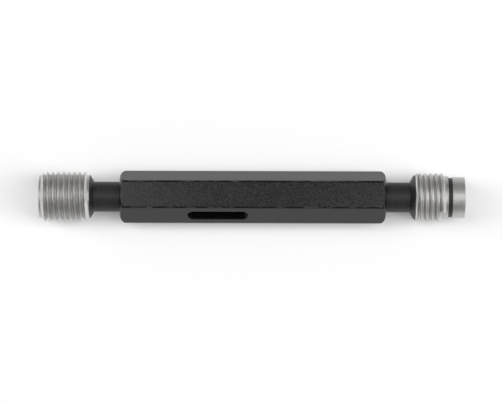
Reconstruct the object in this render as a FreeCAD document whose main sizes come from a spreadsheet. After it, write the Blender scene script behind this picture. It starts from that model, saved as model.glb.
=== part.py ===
"""Double-ended thread plug gauge, M14 x 1.5.

A hexagonal handle holds two gauging members on taper shanks: the full-length GO thread at -X and
the short NO-GO thread, with its plain pilot, at +X. The gauge lies on its GO thread with two flats
of the handle level. The axis runs along X, +Z is up, and the origin is on the surface that the
gauge lies on, below the middle of its length. All lengths are in millimetres.
"""
import FreeCAD, Part
import math
import os
import Sketcher

V = FreeCAD.Vector

# Driving dimensions: alias in the sheet, value, what it is.
SIZES = [
    ("handle_length", 74.5, "hexagon bar, end face to end face"),
    ("across_flats", 13.0, "hexagon bar across its flats"),
    ("bar_edge_radius", 0.8, "rounding of the bar's six long edges"),
    ("turned_diameter", 14.9, "diameter at which the turned rounds would be level with the axis"),
    ("turned_radius", 2.0, "radius turned on each end of the bar"),
    ("bore_diameter", 7.4, "hole drilled from socket to socket"),
    ("socket_depth", 24.0, "tapered socket, from the end face inwards"),
    ("slot_width", 3.4, "drift slot, across"),
    ("slot_length", 16.8, "drift slot, end to end"),
    ("slot_start", 19.05, "drift slot, from the handle's GO end"),
    ("slot_face_angle", 60.0, "turn of the slotted flat from the top flat, in degrees"),
    ("slot_edge_break", 0.15, "chamfer round the slot's mouths"),
    ("neck_diameter", 8.4, "neck of a member, and mouth of its socket"),
    ("taper_ratio", 50.0, "taper of shank and socket, 1 in this much on diameter"),
    ("shank_length", 22.5, "taper shank, inside the handle"),
    ("shank_chamfer", 0.4, "chamfer on the shank's small end"),
    ("pitch", 1.5, "thread pitch"),
    ("flank_angle", 30.0, "half the included angle of the thread, in degrees"),
    ("lead_rise", 1.0, "rise of the chamfers on a thread's ends for each unit along the axis"),
    ("ridge_sink", 0.3, "depth that the thread's ridge is rooted below its root diameter"),
    ("go_neck_length", 7.25, "GO neck, from the handle's end face"),
    ("go_shoulder_run", 1.05, "cone from the GO neck up to its rear land, along the axis"),
    ("go_collar_length", 0.45, "GO rear land behind the thread's rear chamfer"),
    ("go_thread_run", 13.2, "GO thread, between the roots of its two chamfers"),
    ("go_pitch_diameter", 13.04, "GO pitch diameter"),
    ("go_addendum", 0.48, "GO crest, over the pitch radius"),
    ("go_dedendum", 0.47, "GO root and rear land, below the pitch radius"),
    ("go_land_step", 0.1, "GO front land, below the root, on the radius"),
    ("go_land_length", 0.7, "GO front land, from the tip"),
    ("go_tip_chamfer", 0.2, "chamfer on the GO tip"),
    ("go_ridge_lag", 0.045, "GO crest's start, behind the root of the thread's rear chamfer"),
    ("go_ridge_relief", 0.05, "GO thread's full turns that its front chamfer takes away"),
    ("nogo_neck_length", 6.7, "NO-GO neck, from the handle's end face"),
    ("nogo_shoulder_run", 0.8, "cone from the NO-GO neck up to its collar, along the axis"),
    ("nogo_reach", 22.05, "NO-GO member, from the handle's end face to its tip"),
    ("nogo_pitch_diameter", 13.22, "NO-GO pitch diameter"),
    ("nogo_addendum", 0.14, "NO-GO crest, truncated, over the pitch radius"),
    ("nogo_dedendum", 0.56, "NO-GO root, below the pitch radius"),
    ("nogo_collar_step", 0.3, "rear edge of the NO-GO collar's chamfer, below the root"),
    ("nogo_collar_end", 9.15, "NO-GO collar, from the handle's end face to its front"),
    ("nogo_ridge_lead", 0.125, "NO-GO crest's start, in front of the collar"),
    ("nogo_land_start", 16.6, "NO-GO front land, from the handle's end face"),
    ("nogo_land_step", 0.1, "NO-GO front land, below the root, on the radius"),
    ("relief_depth", 0.55, "relief groove behind the pilot, below the root, on the radius"),
    ("relief_start", 17.4, "relief groove, from the handle's end face"),
    ("relief_width", 1.2, "relief groove, along the axis"),
    ("pilot_step", 0.3, "plain pilot in front of the NO-GO thread, below the root"),
    ("pilot_chamfer", 0.15, "chamfer on the pilot's tip"),
]

# Thread ridges, by angle about the member's axis from its +Y side over the top, in degrees: where
# the crest passes its station, where the ridge starts in the rear chamfer, and the turns it makes.
GO_RIDGE_START = 270.0
NOGO_RIDGE_START = -40.0
NOGO_RIDGE_TURNS = 4.5
GO_CREST = "(Sizes.go_pitch_diameter / 2 + Sizes.go_addendum)"
GO_ROOT = "(Sizes.go_pitch_diameter / 2 - Sizes.go_dedendum)"
NOGO_CREST = "(Sizes.nogo_pitch_diameter / 2 + Sizes.nogo_addendum)"
NOGO_ROOT = "(Sizes.nogo_pitch_diameter / 2 - Sizes.nogo_dedendum)"
GO_THREAD_BACK = "(Sizes.go_neck_length + Sizes.go_shoulder_run + Sizes.go_collar_length)"
GO_LAND_START = "(%s + Sizes.go_thread_run)" % GO_THREAD_BACK
GO_REACH = "(%s + Sizes.go_land_length)" % GO_LAND_START

doc = FreeCAD.newDocument("thread_plug_gauge")
sheet = doc.addObject("Spreadsheet::Sheet", "Sizes")
for row, (alias, value, note) in enumerate(SIZES, start=1):
    sheet.set("A%d" % row, str(value))
    sheet.setAlias("A%d" % row, alias)
    sheet.set("B%d" % row, note)
doc.recompute()


def origin_feature(body, role):
    """One of the planes or axes of the body's own origin."""
    return [part for part in body.Origin.OriginFeatures if part.Role == role][0]


def new_sketch(body, name, plane="XY_Plane", turn=None):
    """A sketch on an origin plane of the body, turned about X by the expression turn."""
    sketch = body.newObject("Sketcher::SketchObject", name)
    sketch.AttachmentSupport = (origin_feature(body, plane), [""])
    sketch.MapMode = "FlatFace"
    if turn is not None:
        sketch.AttachmentOffset = FreeCAD.Placement(V(), FreeCAD.Rotation(V(1, 0, 0), 1))
        sketch.setExpression("AttachmentOffset.Rotation.Angle", turn)
    return sketch


def bind(sketch, kind, *where, to):
    """Add a dimension to a sketch and drive it by an expression on the sheet."""
    index = sketch.addConstraint(Sketcher.Constraint(kind, *where, 1.0))
    sketch.setExpression("Constraints[%d]" % index, to)


def polygon(body, name, corners, plane="XY_Plane", turn=None):
    """A closed sketch of straight lines through corners, each an (along, outward) expression."""
    sketch = new_sketch(body, name, plane, turn)
    count = len(corners)
    for i in range(count):
        # Any open zigzag will do to start from: every corner is then placed by its dimensions.
        ends = [V(k % count, 1 + k % count % 3, 0) for k in (i, i + 1)]
        sketch.addGeometry(Part.LineSegment(*ends), False)
    for i in range(count):
        sketch.addConstraint(Sketcher.Constraint("Coincident", i, 2, (i + 1) % count, 1))
    for i, (along, outward) in enumerate(corners):
        for kind, axis, to in (("DistanceX", -2, along), ("DistanceY", -1, outward)):
            if to == "0":
                sketch.addConstraint(Sketcher.Constraint("PointOnObject", i, 1, axis))
            else:
                bind(sketch, kind, -1, 1, i, 1, to=to)
    return sketch


def about_axis(body, kind, name, sketch):
    """Revolve a sketch a full turn about the body's X axis, adding or cutting."""
    feature = body.newObject(kind, name)
    feature.Profile = sketch
    feature.ReferenceAxis = (origin_feature(body, "X_Axis"), [""])
    feature.Angle = 360
    sketch.Visibility = False
    return feature


def new_body(name):
    body = doc.addObject("PartDesign::Body", name)
    body.Label = name
    return body


def ridge_corners(member):
    """Section of a member's thread ridge at its crest station, rooted below the root diameter."""
    s = {"p": "Sizes.%s_pitch_diameter / 2" % member}
    s["c"] = "(%s + Sizes.%s_addendum)" % (s["p"], member)
    s["b"] = "(%s - Sizes.%s_dedendum - Sizes.ridge_sink)" % (s["p"], member)
    crest_half = "(Sizes.pitch / 4 + (%(p)s - %(c)s) * tan(Sizes.flank_angle))" % s
    base_half = "(Sizes.pitch / 4 + (%(p)s - %(b)s) * tan(Sizes.flank_angle))" % s
    return [("-" + base_half, s["b"]), ("-" + crest_half, s["c"]),
            (crest_half, s["c"]), (base_half, s["b"])]


def add_ridge(body, member, station, start_angle, turns):
    """Right-hand helical ridge whose crest starts on station at start_angle, in degrees."""
    corners = [("%s + %s" % (station, along), outward) for along, outward in ridge_corners(member)]
    section = polygon(body, member + "_ridge_section", corners, turn="%.1f" % start_angle)
    doc.recompute()
    ridge = body.newObject("PartDesign::AdditiveHelix", member + "_thread")
    ridge.Profile = section
    ridge.ReferenceAxis = (origin_feature(body, "X_Axis"), [""])
    ridge.Mode = "pitch-turns-angle"
    ridge.setExpression("Pitch", "Sizes.pitch")
    ridge.setExpression("Turns", turns)
    ridge.LeftHanded = False
    ridge.Reversed = False
    section.Visibility = False
    return ridge


def lead_cone(station, crest, root, away):
    """Two corners of a cone that rises from the root at station to clear of the crest.

    away is "-" where the cone rises backwards, at a thread's front end, and "+" at its rear.
    """
    clear = "(%s + Sizes.pitch)" % crest
    run = "((%s - %s) / Sizes.lead_rise)" % (clear, root)
    return [(station, root), ("%s %s %s" % (station, away, run), clear)]


def shank_corners():
    """Taper shank, from the axis at its small end to its mouth in the handle's end face."""
    small = "(Sizes.neck_diameter - Sizes.shank_length / Sizes.taper_ratio) / 2"
    return [("-Sizes.shank_length", "0"),
            ("-Sizes.shank_length", small + " - Sizes.shank_chamfer"),
            ("Sizes.shank_chamfer - Sizes.shank_length",
             small + " + Sizes.shank_chamfer / Sizes.taper_ratio / 2"),
            ("0", "Sizes.neck_diameter / 2")]


def make_go_member():
    """GO member: taper shank, neck, shoulder and thread turned, ground and chamfered in one."""
    body = new_body("go_member")
    land = "(%s - Sizes.go_land_step)" % GO_ROOT
    beyond = GO_REACH + " + Sizes.pitch"
    corners = shank_corners() + [
        ("Sizes.go_neck_length", "Sizes.neck_diameter / 2"),
        ("Sizes.go_neck_length + Sizes.go_shoulder_run", GO_ROOT),
        (GO_REACH, GO_ROOT),
        (GO_REACH, "0")]
    about_axis(body, "PartDesign::Revolution", "go_turned", polygon(body, "go_outline", corners))
    add_ridge(body, "go", GO_THREAD_BACK + " - Sizes.go_ridge_lag", GO_RIDGE_START,
              "Sizes.go_thread_run / Sizes.pitch - Sizes.go_ridge_relief")
    corners = [(GO_LAND_START, land)]
    corners += lead_cone(GO_LAND_START, GO_CREST, GO_ROOT, "-") + [
        (beyond, GO_CREST + " + Sizes.pitch"),
        (beyond, "0"),
        (GO_REACH, "0"),
        (GO_REACH, land + " - Sizes.go_tip_chamfer"),
        (GO_REACH + " - Sizes.go_tip_chamfer", land)]
    about_axis(body, "PartDesign::Groove", "go_front", polygon(body, "go_front_outline", corners))
    behind = GO_THREAD_BACK + " - Sizes.pitch"
    corners = lead_cone(GO_THREAD_BACK, GO_CREST, GO_ROOT, "+") + [
        (behind, GO_CREST + " + Sizes.pitch"),
        (behind, GO_ROOT)]
    about_axis(body, "PartDesign::Groove", "go_rear", polygon(body, "go_rear_outline", corners))
    return body


def make_no_go_member():
    """NO-GO member: as the GO one, with a collar behind its thread and a pilot in front of it."""
    body = new_body("no_go_member")
    neck = "Sizes.neck_diameter / 2"
    root = NOGO_ROOT
    land = "(%s - Sizes.nogo_land_step)" % root
    relief = "(%s - Sizes.relief_depth)" % root
    pilot = "(%s - Sizes.pilot_step)" % root
    edge = "(%s - Sizes.nogo_collar_step)" % root
    crest = NOGO_CREST
    shoulder_end = "Sizes.nogo_neck_length + Sizes.nogo_shoulder_run"
    chamfer_end = "%s + (%s - %s) / Sizes.lead_rise" % (shoulder_end, crest, edge)
    relief_end = "Sizes.relief_start + Sizes.relief_width"
    corners = shank_corners() + [
        ("Sizes.nogo_neck_length", neck),
        (shoulder_end, edge),
        (chamfer_end, crest),
        ("Sizes.nogo_collar_end - (%s - %s) * tan(Sizes.flank_angle)" % (crest, root), crest),
        ("Sizes.nogo_collar_end", root),
        ("Sizes.relief_start", root),
        ("Sizes.relief_start", relief),
        (relief_end, relief),
        (relief_end, pilot),
        ("Sizes.nogo_reach - Sizes.pilot_chamfer", pilot),
        ("Sizes.nogo_reach", pilot + " - Sizes.pilot_chamfer"),
        ("Sizes.nogo_reach", "0")]
    about_axis(body, "PartDesign::Revolution", "nogo_turned",
               polygon(body, "nogo_outline", corners))
    add_ridge(body, "nogo", "Sizes.nogo_collar_end + Sizes.nogo_ridge_lead", NOGO_RIDGE_START,
              "%.2f" % NOGO_RIDGE_TURNS)
    land_end = "(Sizes.relief_start + Sizes.relief_width / 2)"
    corners = [("Sizes.nogo_land_start", land)]
    corners += lead_cone("Sizes.nogo_land_start", crest, root, "-")
    corners += [(land_end, crest + " + Sizes.pitch"), (land_end, land)]
    about_axis(body, "PartDesign::Groove", "nogo_front",
               polygon(body, "nogo_front_outline", corners))
    return body


def turned_end_corners():
    """What is turned off the bar's +X end: outside three cones that follow a quarter round."""
    end = "(Sizes.handle_length / 2 - Sizes.turned_radius)"
    side = "(Sizes.turned_diameter / 2 - Sizes.turned_radius)"
    corners = [("%s + Sizes.turned_radius * sin(%d)" % (end, angle),
                "%s + Sizes.turned_radius * cos(%d)" % (side, angle)) for angle in (0, 30, 60, 90)]
    return corners + [("Sizes.handle_length / 2 + Sizes.turned_radius", side),
                      ("Sizes.handle_length / 2 + Sizes.turned_radius", "Sizes.across_flats"),
                      (end, "Sizes.across_flats")]


def slot_section(body):
    """Drift slot: two half rounds joined by straight sides, in the slotted flat's own plane."""
    sketch = new_sketch(body, "slot_section", turn="Sizes.slot_face_angle")
    for x, start in ((-17, math.pi / 2), (-3, -math.pi / 2)):
        circle = Part.Circle(V(x, 0, 0), V(0, 0, 1), 2)
        sketch.addGeometry(Part.ArcOfCircle(circle, start, start + math.pi), False)
    for y in (2, -2):
        sketch.addGeometry(Part.LineSegment(V(-17, y, 0), V(-3, y, 0)), False)
    for arc, end, line, line_end in ((0, 1, 2, 1), (1, 2, 2, 2), (0, 2, 3, 1), (1, 1, 3, 2)):
        sketch.addConstraint(Sketcher.Constraint("Coincident", arc, end, line, line_end))
        sketch.addConstraint(Sketcher.Constraint("Vertical", arc, 3, arc, end))
    for arc in (0, 1):
        sketch.addConstraint(Sketcher.Constraint("PointOnObject", arc, 3, -1))
    sketch.addConstraint(Sketcher.Constraint("Equal", 0, 1))
    bind(sketch, "Radius", 0, to="Sizes.slot_width / 2")
    first = "Sizes.slot_start + Sizes.slot_width / 2 - Sizes.handle_length / 2"
    bind(sketch, "DistanceX", -1, 1, 0, 3, to=first)
    bind(sketch, "DistanceX", -1, 1, 1, 3, to=first + " + Sizes.slot_length - Sizes.slot_width")
    return sketch


def edge_names(shape, wanted):
    """Names of the shape's edges for which wanted(edge) holds."""
    return ["Edge%d" % i for i, edge in enumerate(shape.Edges, start=1) if wanted(edge)]


def make_handle():
    """Hexagon bar, turned round at both ends, with a socket in each end, a bore and a slot."""
    body = new_body("handle")
    side = "Sizes.across_flats / sqrt(3)"
    flat = "Sizes.across_flats / 2"
    corners = [(side, "0"), (side + " / 2", flat), ("-%s / 2" % side, flat),
               ("-" + side, "0"), ("-%s / 2" % side, "-" + flat), (side + " / 2", "-" + flat)]
    bar = body.newObject("PartDesign::Pad", "bar")
    bar.Profile = polygon(body, "bar_section", corners, plane="YZ_Plane")
    bar.Midplane = True
    bar.setExpression("Length", "Sizes.handle_length")
    doc.recompute()

    rounding = body.newObject("PartDesign::Fillet", "bar_edges")
    long_edges = edge_names(bar.Shape, lambda edge: abs(edge.tangentAt(0).x) > 0.99)
    rounding.Base = (bar, long_edges)
    rounding.setExpression("Radius", "Sizes.bar_edge_radius")
    doc.recompute()

    end = about_axis(body, "PartDesign::Groove", "turned_end",
                     polygon(body, "turned_end_section", turned_end_corners()))
    doc.recompute()
    ends = body.newObject("PartDesign::Mirrored", "turned_ends")
    ends.Originals = [end]
    ends.MirrorPlane = (origin_feature(body, "YZ_Plane"), [""])
    body.Tip = ends
    doc.recompute()

    mouth = "Sizes.neck_diameter / 2"
    deep = "(Sizes.neck_diameter - Sizes.socket_depth / Sizes.taper_ratio) / 2"
    bore = "Sizes.bore_diameter / 2"
    face = "Sizes.handle_length / 2"
    inner = "(Sizes.handle_length / 2 - Sizes.socket_depth)"
    outline = [("-" + face, "0"), ("-" + face, mouth), ("-" + inner, deep), ("-" + inner, bore),
               (inner, bore), (inner, deep), (face, mouth), (face, "0")]
    about_axis(body, "PartDesign::Groove", "sockets", polygon(body, "socket_section", outline))
    doc.recompute()

    slot = body.newObject("PartDesign::Pocket", "drift_slot")
    slot.Profile = slot_section(body)
    slot.Type = "ThroughAll"
    slot.Midplane = True
    doc.recompute()

    angle = math.radians(sheet.get("slot_face_angle"))
    flat_normal = V(0, -math.sin(angle), math.cos(angle))
    reach = sheet.get("across_flats") / 2
    length = sheet.get("slot_length")
    middle = sheet.get("slot_start") + (length - sheet.get("handle_length")) / 2

    def on_mouth(edge):
        """True for an edge that lies in a slotted flat, within the slot's length."""
        points = edge.discretize(3)
        return all(abs(abs(point.dot(flat_normal)) - reach) < 1e-4 and
                   abs(point.x - middle) < 0.6 * length for point in points)

    edge_break = body.newObject("PartDesign::Chamfer", "slot_edge_break")
    edge_break.Base = (slot, edge_names(slot.Shape, on_mouth))
    edge_break.setExpression("Size", "Sizes.slot_edge_break")
    return body


handle = make_handle()
go_member = make_go_member()
no_go_member = make_no_go_member()

# Every member's own X axis points out of its end of the handle. The gauge is centred on its whole
# length, and its axis is a GO crest radius above the surface that it lies on.
half = "(%s + Sizes.handle_length + Sizes.nogo_reach) / 2" % GO_REACH
for body, place in ((handle, "%s + Sizes.handle_length / 2 - %s" % (GO_REACH, half)),
                    (go_member, "%s - %s" % (GO_REACH, half)),
                    (no_go_member, half + " - Sizes.nogo_reach")):
    body.setExpression("Placement.Base.x", place)
    body.setExpression("Placement.Base.z", GO_CREST)
go_member.Placement = FreeCAD.Placement(V(), FreeCAD.Rotation(V(0, 0, 1), 180))
doc.recompute()

for item in doc.Objects:
    if "Invalid" in item.State or "Error" in item.State:
        raise RuntimeError("%s failed: %s" % (item.Label, item.State))
os.makedirs("parts", exist_ok=True)
for body in (handle, go_member, no_go_member):
    shape = body.Shape
    if shape.isNull() or not shape.isValid() or len(shape.Solids) != 1:
        raise RuntimeError("%s is not one valid solid" % body.Label)
    box = shape.BoundBox
    print("%s: volume %.1f, x %.2f to %.2f" % (body.Label, shape.Volume, box.XMin, box.XMax))
    shape.exportStep("parts/%s.step" % body.Label)
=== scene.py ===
# %% [markdown]
# # A thread plug gauge
# A hexagon handle holds two ground gauging members by 1:50 tapers: a long GO thread at one end,
# and at the other a short NO-GO thread with a plain pilot. Each lesson cell makes one thing.

import bpy
import numpy as np
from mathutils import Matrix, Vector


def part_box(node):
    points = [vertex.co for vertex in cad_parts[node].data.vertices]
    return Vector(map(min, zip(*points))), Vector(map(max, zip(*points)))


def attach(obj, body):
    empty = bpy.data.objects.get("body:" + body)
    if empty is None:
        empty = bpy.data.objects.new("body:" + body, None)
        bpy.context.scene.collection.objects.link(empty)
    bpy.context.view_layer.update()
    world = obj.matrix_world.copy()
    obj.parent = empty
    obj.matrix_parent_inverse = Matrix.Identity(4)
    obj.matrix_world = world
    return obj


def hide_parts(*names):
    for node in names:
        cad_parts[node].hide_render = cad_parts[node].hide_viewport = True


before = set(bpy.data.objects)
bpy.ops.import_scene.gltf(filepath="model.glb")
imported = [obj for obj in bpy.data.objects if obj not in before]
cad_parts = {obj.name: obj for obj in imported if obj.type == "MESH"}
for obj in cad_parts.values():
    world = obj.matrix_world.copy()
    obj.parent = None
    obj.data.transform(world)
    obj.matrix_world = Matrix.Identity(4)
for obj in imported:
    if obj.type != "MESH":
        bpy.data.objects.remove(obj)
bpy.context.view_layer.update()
MM = 0.001

# %% [markdown]
# ## Sizes
# Lengths are in millimetres. `u` runs out of the handle's end face along a member's own axis, and
# the gauge's axis lies one GO radius above the surface.

# %% Sizes of the gauge
PITCH = 1.5
SLOPE = np.tan(np.radians(30.0))
AXIS_Z = 7.0
HANDLE_LOW, HANDLE_HIGH = [round(corner.x / MM, 4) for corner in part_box("handle")]
ACROSS_FLATS = 13.0
EDGE_RADIUS = 0.8
TURNED_RADIUS, TURNED_REACH = 2.0, 7.45
SOCKET_DEPTH, BORE_RADIUS = 24.0, 3.7
NECK_RADIUS, SHANK_LENGTH, SHANK_CHAMFER, TAPER = 4.2, 22.5, 0.4, 50.0
SLOT_MIDDLE, SLOT_LENGTH, SLOT_WIDTH, SLOT_FLARE = -9.5, 16.8, 3.4, 0.15
AROUND = 240

# %% [markdown]
# ## From a grid of points to a mesh
# Every part below is a sheet of points: rings along the part, the same number of points in each.
# Rings that fall on each other are merged, and creases sharper than 30 degrees stay crisp.

# %% Turn a grid of points into a mesh object
def add_mesh(name, rings):
    """Mesh of rings of points in mm, each ending where it starts; equal points are merged."""
    merged, where = np.unique(np.round(rings.reshape(-1, 3), 5) + 0.0, axis=0, return_inverse=True)
    where = where.reshape(rings.shape[:2])
    quads = np.stack([where[:-1, :-1], where[:-1, 1:], where[1:, 1:], where[1:, :-1]], axis=-1)
    faces = []
    for quad in quads.reshape(-1, 4):
        corners = [int(v) for i, v in enumerate(quad) if v != quad[i - 1]]
        if len(corners) > 2 and len(set(corners)) == len(corners):
            faces.append(corners)
    mesh = bpy.data.meshes.new(name)
    mesh.from_pydata((merged * MM).tolist(), [], faces)
    mesh.validate()
    mesh.shade_smooth()
    mesh.set_sharp_from_angle(angle=np.radians(30.0))
    piece = bpy.data.objects.new(name, mesh)
    bpy.context.scene.collection.objects.link(piece)
    print(name, len(merged), "points,", len(faces), "faces")
    return piece


# %% [markdown]
# ## The form of a ground thread
# A thread is one ridge wound on a cylinder. In section it is a trapezium with 30 degree flanks,
# half a pitch wide at its pitch radius. Grid lines that follow the winding keep its edges crisp.

# %% Radius of a thread at any place
def ridge_radius(along, angle, start, turns, crest, pitch_radius, root, blunt):
    """Radius of a ridge that leaves along = start at angle 0 and winds for some turns.

    wound = (along - start) / PITCH - angle / 2 pi, its nearest whole number is k, and
    radius = min(crest, pitch_radius + (PITCH / 4 - |wound - k| PITCH) / tan 30).
    Each end sinks to the root as a quarter of an ellipse over `blunt` turns.
    """
    wound = (along - start) / PITCH - angle / (2 * np.pi)
    k = np.round(wound)
    flank = pitch_radius + (PITCH / 4 - np.abs(wound - k) * PITCH) / SLOPE
    from_end = np.minimum(k + angle / (2 * np.pi), turns - k - angle / (2 * np.pi))
    rise = np.sqrt(1 - (1 - np.clip(from_end / blunt, 0, 1)) ** 2)
    return root + (np.minimum(flank, crest) - root) * rise


def helical_grid(low, high, around, columns=24):
    """Stations and angles of a grid whose lines follow the thread, held between low and high.

    along = low - PITCH + PITCH (line / columns + step / around), angle = 2 pi step / around.
    """
    lines = int(np.ceil((high - low) / PITCH + 1)) * columns
    line, step = np.meshgrid(np.arange(lines + 1), np.arange(around + 1), indexing="ij")
    along = np.clip(low - PITCH + PITCH * (line / columns + step / around), low, high)
    return along, 2 * np.pi * (step % around) / around


def sheet(along, angle, radius):
    """Points of a surface round the X axis: (along, radius cos angle, radius sin angle)."""
    return np.stack([along, radius * np.cos(angle), radius * np.sin(angle)], axis=-1)


def turned(profile):
    """Rings of a turned profile, a list of (along, radius), closed on themselves."""
    along, radius = np.array(profile, float).T[:, :, None]
    angle = 2 * np.pi * (np.arange(AROUND + 1) % AROUND) / AROUND
    return sheet(*np.broadcast_arrays(along, angle, radius))


SMALL_END = NECK_RADIUS - SHANK_LENGTH / TAPER / 2
SHANK = [(-SHANK_LENGTH, 0.0),
         (-SHANK_LENGTH, SMALL_END - SHANK_CHAMFER),
         (SHANK_CHAMFER - SHANK_LENGTH, SMALL_END + SHANK_CHAMFER / TAPER / 2),
         (0.0, NECK_RADIUS)]

# %% [markdown]
# ## The GO member
# Long, with the full thread form: if it screws all the way in, the tapped hole is large enough.
# It could be turned, threaded, hardened, then ground and lapped on its thread and lands only.

# %% GO member
GO_ROOT, GO_LAND, GO_CREST, GO_PITCH_RADIUS = 6.05, 5.95, 7.0, 6.52
GO_NECK, GO_SHOULDER, GO_BACK, GO_FRONT, GO_REACH = 7.25, 8.3, 8.75, 21.95, 22.65
GO_TIP_CHAMFER = 0.2
GO_TURNS, GO_RIDGE_START, GO_RIDGE_ANGLE = 8.75, 8.705, np.radians(270.0)


def go_member():
    """Turned shank, neck and lands with the helical sheet between the thread's two chamfers."""
    along, angle = helical_grid(GO_BACK, GO_FRONT, AROUND)
    ridge = ridge_radius(along, (angle - GO_RIDGE_ANGLE) % (2 * np.pi), GO_RIDGE_START, GO_TURNS,
                         GO_CREST, GO_PITCH_RADIUS, GO_ROOT, 0.01)
    chamfer = GO_ROOT + np.minimum(along - GO_BACK, GO_FRONT - along)
    thread = sheet(along, angle, np.minimum(chamfer, np.maximum(ridge, GO_ROOT)))
    rear = turned(SHANK + [(GO_NECK, NECK_RADIUS), (GO_SHOULDER, GO_ROOT), (GO_BACK, GO_ROOT)])
    front = turned([(GO_FRONT, GO_ROOT), (GO_FRONT, GO_LAND),
                    (GO_REACH - GO_TIP_CHAMFER, GO_LAND),
                    (GO_REACH, GO_LAND - GO_TIP_CHAMFER), (GO_REACH, 0.0)])
    points = np.concatenate([rear, thread, front])
    return points * (-1, -1, 1) + (HANDLE_LOW, 0, AXIS_Z)


go_look = add_mesh("go_look", go_member())
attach(go_look, "root")
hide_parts("go_member")

# %% [markdown]
# ## The NO-GO member
# Short and truncated, with a full collar behind, a groove that clears the grinding wheel, and a
# plain pilot in front. Its ridge ends in a blunt round nose, so that it can't cut.

# %% NO-GO member
NOGO_ROOT, NOGO_LAND, NOGO_CREST, NOGO_PITCH_RADIUS = 6.05, 5.95, 6.75, 6.61
NOGO_NECK, NOGO_SHOULDER, SHOULDER_RADIUS, COLLAR = 6.7, 7.5, 5.75, 8.5
NOGO_BACK, NOGO_FRONT, NOGO_REACH = 8.746, 16.6, 22.05
PILOT_CHAMFER = 0.15
NOGO_TURNS, NOGO_RIDGE_START, NOGO_RIDGE_ANGLE = 4.5, 9.275, np.radians(-40.0)
RELIEF_LOW, RELIEF_HIGH, RELIEF, PILOT = 17.4, 18.6, 5.5, 5.75


def no_go_member():
    """As the GO member, where the collar's front flank falls at 30 degrees into the root."""
    along, angle = helical_grid(NOGO_BACK, NOGO_FRONT, AROUND)
    ridge = ridge_radius(along, (angle - NOGO_RIDGE_ANGLE) % (2 * np.pi), NOGO_RIDGE_START,
                         NOGO_TURNS, NOGO_CREST, NOGO_PITCH_RADIUS, NOGO_ROOT, 0.04)
    core = np.maximum(NOGO_ROOT, NOGO_CREST - (along - NOGO_BACK) / SLOPE)
    chamfer = NOGO_ROOT + (NOGO_FRONT - along)
    thread = sheet(along, angle, np.minimum(chamfer, np.maximum(ridge, core)))
    rear = turned(SHANK + [(NOGO_NECK, NECK_RADIUS), (NOGO_SHOULDER, SHOULDER_RADIUS),
                           (COLLAR, NOGO_CREST), (NOGO_BACK, NOGO_CREST)])
    front = turned([(NOGO_FRONT, NOGO_ROOT), (NOGO_FRONT, NOGO_LAND), (RELIEF_LOW, NOGO_LAND),
                    (RELIEF_LOW, RELIEF), (RELIEF_HIGH, RELIEF), (RELIEF_HIGH, PILOT),
                    (NOGO_REACH - PILOT_CHAMFER, PILOT), (NOGO_REACH, PILOT - PILOT_CHAMFER),
                    (NOGO_REACH, 0.0)])
    points = np.concatenate([rear, thread, front])
    return points + (HANDLE_HIGH, 0, AXIS_Z)


no_go_look = add_mesh("no_go_look", no_go_member())
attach(no_go_look, "root")
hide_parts("no_go_member")


# %% [markdown]
# ## The handle
# Bright drawn hexagon bar, blackened. Its corners keep the die's small radius, and both ends are
# turned round, so each flat runs out in a curve. A slot in two opposite flats lets a drift push
# the GO member out; the NO-GO member is driven out by a rod through the bore.

# %% Handle
def hexagon_section():
    """Points (y, z) of a hexagon with rounded corners, flat up, from one flat to the next."""
    half = (ACROSS_FLATS / 2 - EDGE_RADIUS) * SLOPE
    inner = (ACROSS_FLATS / 2 - EDGE_RADIUS) / np.cos(np.radians(30.0))
    flat = np.concatenate([[-half], np.linspace(0.04 - half, half - 0.04, 8)])
    section = []
    for turn in np.radians(90.0 + 60.0 * np.arange(6)):
        out = np.array([np.cos(turn), np.sin(turn)])
        side = np.array([-np.sin(turn), np.cos(turn)])
        section += [out * ACROSS_FLATS / 2 + side * t for t in flat]
        corner = inner * np.array([np.cos(turn + np.pi / 6), np.sin(turn + np.pi / 6)])
        for bend in np.linspace(0, np.pi / 3, 9)[:-1]:
            section.append(corner + EDGE_RADIUS * np.array([np.cos(turn + bend),
                                                            np.sin(turn + bend)]))
    return np.array(section + section[:1])


def handle_rings():
    """Rings from one turned end to the other along the flats, and back through the bore.

    Where the turned quarter round meets a point of the section at radius p, its angle is
    arccos((p - c) / R), with c = TURNED_REACH - R, which places the crease exactly.
    """
    section = hexagon_section()
    reach = np.hypot(section[:, 0], section[:, 1])
    way = section / reach[:, None]
    centre = TURNED_REACH - TURNED_RADIUS
    crease = np.arccos((reach - centre) / TURNED_RADIUS)
    middle, half = (HANDLE_LOW + HANDLE_HIGH) / 2, (HANDLE_HIGH - HANDLE_LOW) / 2

    def ring(x, radius):
        x = np.broadcast_to(x, reach.shape)
        return np.column_stack([x, way * np.broadcast_to(radius, reach.shape)[:, None]])

    end = []
    for share in np.linspace(0, 1, 9):
        bend = crease + (np.pi / 2 - crease) * share
        end.append((half - TURNED_RADIUS * (1 - np.sin(bend)),
                    centre + TURNED_RADIUS * np.cos(bend)))
    deep = half - SOCKET_DEPTH
    end += [(half, NECK_RADIUS), (deep, NECK_RADIUS - SOCKET_DEPTH / TAPER / 2),
            (deep, BORE_RADIUS)]
    edge = end[0][0]
    rings = [ring(middle + edge * share, reach) for share in np.linspace(-1, 1, 41)[:-1]]
    rings += [ring(middle + x, radius) for x, radius in end]
    rings += [ring(middle - x, radius) for x, radius in end[::-1]]
    return np.array(rings) + (0, 0, AXIS_Z)


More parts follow.
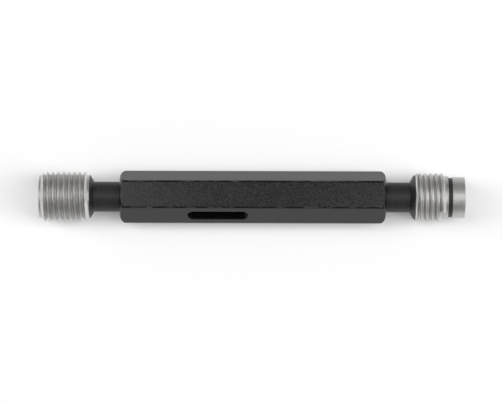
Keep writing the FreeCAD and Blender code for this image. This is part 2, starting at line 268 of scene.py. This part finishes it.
def slot_cutter():
    """Stadium-shaped plug along the slotted flats' normal, flared 45 degrees at both mouths."""
    normal = np.array([0, -np.cos(np.pi / 6), np.sin(np.pi / 6)])
    across = np.array([0, np.sin(np.pi / 6), np.cos(np.pi / 6)])
    turn = np.linspace(0, 2 * np.pi, 65)
    straight = (SLOT_LENGTH - SLOT_WIDTH) / 2
    rings = []
    flare = ACROSS_FLATS / 2 - SLOT_FLARE
    clear = ACROSS_FLATS / 2 + 1.5
    for depth, wide in ((-clear, 0), (-clear, 1), (-flare, 1), (flare, 1), (clear, 1), (clear, 0)):
        radius = wide * (SLOT_WIDTH / 2 + max(0, abs(depth) - flare))
        x = SLOT_MIDDLE + wide * straight * np.sign(np.cos(turn)) + radius * np.cos(turn)
        rings.append(x[:, None] * (1, 0, 0) + depth * normal
                     + (radius * np.sin(turn))[:, None] * across)
    return np.array(rings) + (0, 0, AXIS_Z)


handle_look = add_mesh("handle_look", handle_rings())
cutter = add_mesh("slot_cutter", slot_cutter())
cut = handle_look.modifiers.new("drift_slot", "BOOLEAN")
cut.operation = "DIFFERENCE"
cut.solver = "EXACT"
cut.object = cutter
bpy.context.view_layer.update()
cut_mesh = bpy.data.meshes.new_from_object(
    handle_look.evaluated_get(bpy.context.evaluated_depsgraph_get()))
handle_look.modifiers.clear()
handle_look.data = cut_mesh
cut_mesh.set_sharp_from_angle(angle=np.radians(30.0))
bpy.data.objects.remove(cutter)
print("handle_look cut", len(cut_mesh.polygons), "faces")
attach(handle_look, "root")
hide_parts("handle")


# %% [markdown]
# ## Finishes
# Effects are node groups that hand out only masks and values; each material keeps its own shader.
# Object coordinates are in metres along the gauge, so every effect is tied to a place on it.

# %% Node helpers
def add(tree, kind, **settings):
    """A node of that kind, with properties or input values from the settings."""
    node = tree.nodes.new(kind)
    for key, value in settings.items():
        if hasattr(node, key):
            setattr(node, key, value)
        else:
            node.inputs[key.replace("_", " ")].default_value = value
    return node


def math_node(tree, operation, first, second=0.5):
    """A Math node whose operands are sockets or numbers; returns its output."""
    node = tree.nodes.new("ShaderNodeMath")
    node.operation = operation
    for socket, value in zip(node.inputs, (first, second)):
        if isinstance(value, (int, float)):
            socket.default_value = value
        else:
            tree.links.new(value, socket)
    return node.outputs[0]


def ramp(tree, value, low, high, to_low=0.0, to_high=1.0):
    """Smooth step of value from low to high, as to_low to to_high."""
    node = add(tree, "ShaderNodeMapRange", interpolation_type="SMOOTHSTEP")
    tree.links.new(value, node.inputs["Value"])
    for key, number in (("From Min", low), ("From Max", high),
                        ("To Min", to_low), ("To Max", to_high)):
        node.inputs[key].default_value = number
    return node.outputs["Result"]


def noise(tree, place, scale, stretch=(1, 1, 1), detail=3.0):
    """Noise of Object coordinates in mm, stretched along the axes; returns its value."""
    mapping = add(tree, "ShaderNodeMapping")
    mapping.inputs["Scale"].default_value = tuple(1000 * scale * s for s in stretch)
    tree.links.new(place, mapping.inputs["Vector"])
    grain = add(tree, "ShaderNodeTexNoise", Scale=1.0, Detail=detail)
    tree.links.new(mapping.outputs[0], grain.inputs["Vector"])
    return grain.outputs[0]


def effect(name, outputs):
    """An empty node group with a Place input; returns it, its input's socket and its exit."""
    group = bpy.data.node_groups.new(name, "ShaderNodeTree")
    group.interface.new_socket("Place", in_out="INPUT", socket_type="NodeSocketVector")
    for output in outputs:
        group.interface.new_socket(output, in_out="OUTPUT", socket_type="NodeSocketFloat")
    entry = group.nodes.new("NodeGroupInput")
    leave = group.nodes.new("NodeGroupOutput")
    return group, entry.outputs["Place"], leave


def use(tree, group):
    """Add a group to a material, fed with Object coordinates; returns its outputs."""
    place = add(tree, "ShaderNodeTexCoord").outputs["Object"]
    node = tree.nodes.new("ShaderNodeGroup")
    node.node_tree = group
    tree.links.new(place, node.inputs["Place"])
    return node.outputs


# %% [markdown]
# ## Blackened bright bar
# Chemical blacking is a thin glossy skin over drawn steel. It has fine grain, small pits, some
# long handling scratches, and it wears to bare steel on the corners of the hexagon.

# %% Effect: wear of a blackened hexagon
def bar_wear():
    """Wear, Grain and Height of the bar.

    An edge is where the second largest of the distances |n . p| from the three pairs of flats
    comes near to half the size across flats; wear is a share of the edge picked out by noise.
    """
    group, place, leave = effect("bar_wear", ("Wear", "Grain", "Height"))
    axes = add(group, "ShaderNodeSeparateXYZ")
    group.links.new(place, axes.inputs[0])
    y, z = axes.outputs["Y"], math_node(group, "SUBTRACT", axes.outputs["Z"], AXIS_Z * MM)
    distances = []
    for turn in np.radians((90.0, 150.0, 210.0)):
        along_y = math_node(group, "MULTIPLY", y, float(np.cos(turn)) / MM)
        along_z = math_node(group, "MULTIPLY", z, float(np.sin(turn)) / MM)
        distances.append(math_node(group, "ABSOLUTE", math_node(group, "ADD", along_y, along_z)))
    first, second, third = distances
    low = math_node(group, "MINIMUM", first, second)
    high = math_node(group, "MAXIMUM", first, second)
    middle = math_node(group, "MAXIMUM", low, math_node(group, "MINIMUM", high, third))
    edge = ramp(group, middle, 6.22, 6.33)
    patchy = ramp(group, noise(group, place, 0.6, (0.5, 1, 1), 5.0), 0.45, 0.8, 0.0, 0.35)
    specks = ramp(group, noise(group, place, 2.2, (1, 1, 1), 4.0), 0.72, 0.8)
    wear = math_node(group, "MULTIPLY", edge, patchy)
    group.links.new(math_node(group, "MAXIMUM", wear, math_node(group, "MULTIPLY", specks, 0.5)),
                    leave.inputs["Wear"])
    group.links.new(noise(group, place, 3.0, (1, 1, 1), 6.0), leave.inputs["Grain"])
    drawn = noise(group, place, 1.5, (0.03, 1.6, 1.6), 3.0)
    group.links.new(math_node(group, "ADD", drawn, noise(group, place, 2.0)),
                    leave.inputs["Height"])
    return group


def new_material(name):
    """A material with its node tree cleared but for the shader; returns both."""
    material = bpy.data.materials.new(name)
    material.use_nodes = True
    return material, material.node_tree, material.node_tree.nodes["Principled BSDF"]


def mix(tree, share, first, second):
    """Colour between two colours by a share; returns the output."""
    node = add(tree, "ShaderNodeMix", data_type="RGBA")
    tree.links.new(share, node.inputs["Factor"])
    for socket, value in ((node.inputs[6], first), (node.inputs[7], second)):
        if isinstance(value, tuple):
            socket.default_value = (*value, 1)
        else:
            tree.links.new(value, socket)
    return node.outputs[2]


def bump(tree, height, distance, strength=1.0):
    """Bump from a height in the given distance; returns its normal."""
    node = add(tree, "ShaderNodeBump", Distance=distance, Strength=strength)
    tree.links.new(height, node.inputs["Height"])
    return node.outputs[0]


def blackened_bar():
    """Glossy black skin that wears to steel: a dielectric over near-black, metal where worn."""
    material, tree, shader = new_material("blackened_bar")
    wear = use(tree, bar_wear())
    black = mix(tree, wear["Grain"], (0.0015, 0.0016, 0.0019), (0.004, 0.004, 0.0042))
    tree.links.new(mix(tree, wear["Wear"], black, (0.34, 0.33, 0.31)), shader.inputs["Base Color"])
    tree.links.new(math_node(tree, "MULTIPLY", wear["Wear"], 0.8), shader.inputs["Metallic"])
    tree.links.new(ramp(tree, wear["Grain"], 0.3, 0.7, 0.16, 0.3), shader.inputs["Roughness"])
    tree.links.new(bump(tree, wear["Height"], 0.000004), shader.inputs["Normal"])
    return material


# %% [markdown]
# ## Ground gauge steel
# The threads, lands and pilot are ground bright, and grinding leaves fine rings round the axis.
# The necks, shoulder cones and relief keep the black oxide of hardening, with turning marks.

# %% Effect: where a member is ground, and its rings
def ground_rings(name, bright_from, bright_to, dark_ring):
    """Bright, Rings, Height and Stain along X, in mm, for a member that is ground in a range.

    Bright rises where X passes bright_from and falls past bright_to; dark_ring is another range
    that stays black. Rings is noise drawn out round the axis, fine along it.
    """
    group, place, leave = effect(name, ("Bright", "Rings", "Height", "Stain"))
    axes = add(group, "ShaderNodeSeparateXYZ")
    group.links.new(place, axes.inputs[0])
    x = math_node(group, "MULTIPLY", axes.outputs["X"], 1 / MM)
    uneven = math_node(group, "MULTIPLY", noise(group, place, 0.8), 0.16)
    x = math_node(group, "ADD", x, uneven)
    inside = math_node(group, "MULTIPLY", ramp(group, x, bright_from - 0.04, bright_from + 0.04),
                       ramp(group, x, bright_to - 0.04, bright_to + 0.04, 1.0, 0.0))
    ring_low, ring_high = dark_ring
    outside = math_node(group, "MAXIMUM", ramp(group, x, ring_low - 0.04, ring_low, 1.0, 0.0),
                        ramp(group, x, ring_high, ring_high + 0.04))
    group.links.new(math_node(group, "MULTIPLY", inside, outside), leave.inputs["Bright"])
    rings = noise(group, place, 1.0, (14, 0.25, 0.25), 4.0)
    group.links.new(rings, leave.inputs["Rings"])
    group.links.new(math_node(group, "ADD", rings, noise(group, place, 1.0, (5, 0.12, 0.12))),
                    leave.inputs["Height"])
    group.links.new(ramp(group, noise(group, place, 0.45, (1, 1, 1), 5.0), 0.45, 0.75),
                    leave.inputs["Stain"])
    return group


def ground_steel(name, *ranges):
    """Ground metal where Bright is 1 and black oxide elsewhere, with rings in its normal."""
    material, tree, shader = new_material(name)
    marks = use(tree, ground_rings(name + "_rings", *ranges))
    steel = mix(tree, marks["Rings"], (0.5, 0.495, 0.485), (0.72, 0.715, 0.7))
    steel = mix(tree, math_node(tree, "MULTIPLY", marks["Stain"], 0.2), steel, (0.3, 0.28, 0.26))
    oxide = mix(tree, marks["Rings"], (0.008, 0.008, 0.009), (0.085, 0.083, 0.08))
    tree.links.new(mix(tree, marks["Bright"], oxide, steel), shader.inputs["Base Color"])
    tree.links.new(ramp(tree, marks["Bright"], 0.0, 1.0, 0.65, 1.0), shader.inputs["Metallic"])
    rough = ramp(tree, marks["Rings"], 0.3, 0.7, 0.3, 0.42)
    tangent = add(tree, "ShaderNodeTangent", direction_type="RADIAL", axis="X")
    tree.links.new(tangent.outputs[0], shader.inputs["Tangent"])
    shader.inputs["Anisotropic"].default_value = 0.85
    tree.links.new(rough, shader.inputs["Roughness"])
    tree.links.new(bump(tree, marks["Height"], 0.00001), shader.inputs["Normal"])
    return material


handle_finish = blackened_bar()
go_finish = ground_steel("ground_go", -59.7, -45.3, (-70.0, -69.9))
no_go_finish = ground_steel("ground_no_go", 45.8, 59.7, (54.96, 56.14))
for piece, finish in ((handle_look, handle_finish), (go_look, go_finish),
                      (no_go_look, no_go_finish), (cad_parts["handle"], handle_finish),
                      (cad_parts["go_member"], go_finish),
                      (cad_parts["no_go_member"], no_go_finish)):
    piece.data.materials.clear()
    piece.data.materials.append(finish)

# %% [markdown]
# ## Table, light and camera
# A white table that the glossy bar mirrors in its slanting flats, a dim room overhead, and a soft
# lamp beyond each end, whose light the ground rings spread along the steel.

# %% Stage
def white_table():
    """Plain white table, lifted to white for camera, glossy and transmitted rays."""
    bpy.ops.mesh.primitive_plane_add(size=4.0)
    table = bpy.context.active_object
    table.name = "table"
    material, tree, shader = new_material("table_white")
    shader.inputs["Base Color"].default_value = (0.8, 0.8, 0.8, 1)
    shader.inputs["Roughness"].default_value = 1.0
    shader.inputs["Specular IOR Level"].default_value = 0.0
    path = add(tree, "ShaderNodeLightPath").outputs
    seen = math_node(tree, "MAXIMUM", path["Is Camera Ray"], path["Is Glossy Ray"])
    seen = math_node(tree, "MAXIMUM", seen, path["Is Transmission Ray"])
    shader.inputs["Emission Color"].default_value = (1, 1, 1, 1)
    tree.links.new(math_node(tree, "MULTIPLY", seen, TABLE_LIFT), shader.inputs["Emission Strength"])
    table.data.materials.append(material)


def soft_lamp(name, place, size, watts):
    """Square area lamp at a place in metres, aimed at the gauge."""
    lamp = bpy.data.lights.new(name, "AREA")
    lamp.shape = "RECTANGLE"
    lamp.size, lamp.size_y = size
    lamp.energy = watts
    holder = bpy.data.objects.new(name, lamp)
    holder.location = place
    aim = -holder.location
    holder.rotation_euler = aim.to_track_quat("-Z", "Y").to_euler()
    bpy.context.scene.collection.objects.link(holder)


TABLE_LIFT = 0.15
ROOM = 0.18
white_table()
soft_lamp("lamp_left", (-0.75, 0.1, 0.75), (0.5, 1.7), 9.0)
soft_lamp("lamp_right", (0.75, -0.1, 0.75), (0.5, 1.7), 11.0)
world = bpy.data.worlds.new("room")
world.use_nodes = True
world.node_tree.nodes["Background"].inputs["Color"].default_value = (ROOM, ROOM, ROOM, 1)
bpy.context.scene.world = world

# %% [markdown]
# ## Camera
# A long lens, a little towards the near side of straight overhead, keeps both ends the same size
# and shows the lower slanting flat with its slot.

# %% Camera
DISTANCE, HEIGHT_ANGLE = 0.73, np.radians(83.0)
camera_data = bpy.data.cameras.new("camera")
camera_data.sensor_fit = "HORIZONTAL"
camera_data.angle = 2 * np.arctan(0.5 * 502 * 0.2806 * MM / DISTANCE)
camera_data.shift_y = -0.0078
camera = bpy.data.objects.new("camera", camera_data)
camera.location = (0, -DISTANCE * np.cos(HEIGHT_ANGLE), AXIS_Z * MM + DISTANCE * np.sin(HEIGHT_ANGLE))
camera.rotation_euler = (np.pi / 2 - HEIGHT_ANGLE, 0, np.radians(0.15))
bpy.context.scene.collection.objects.link(camera)
bpy.context.scene.camera = camera
bpy.context.scene.view_settings.view_transform = "Standard"
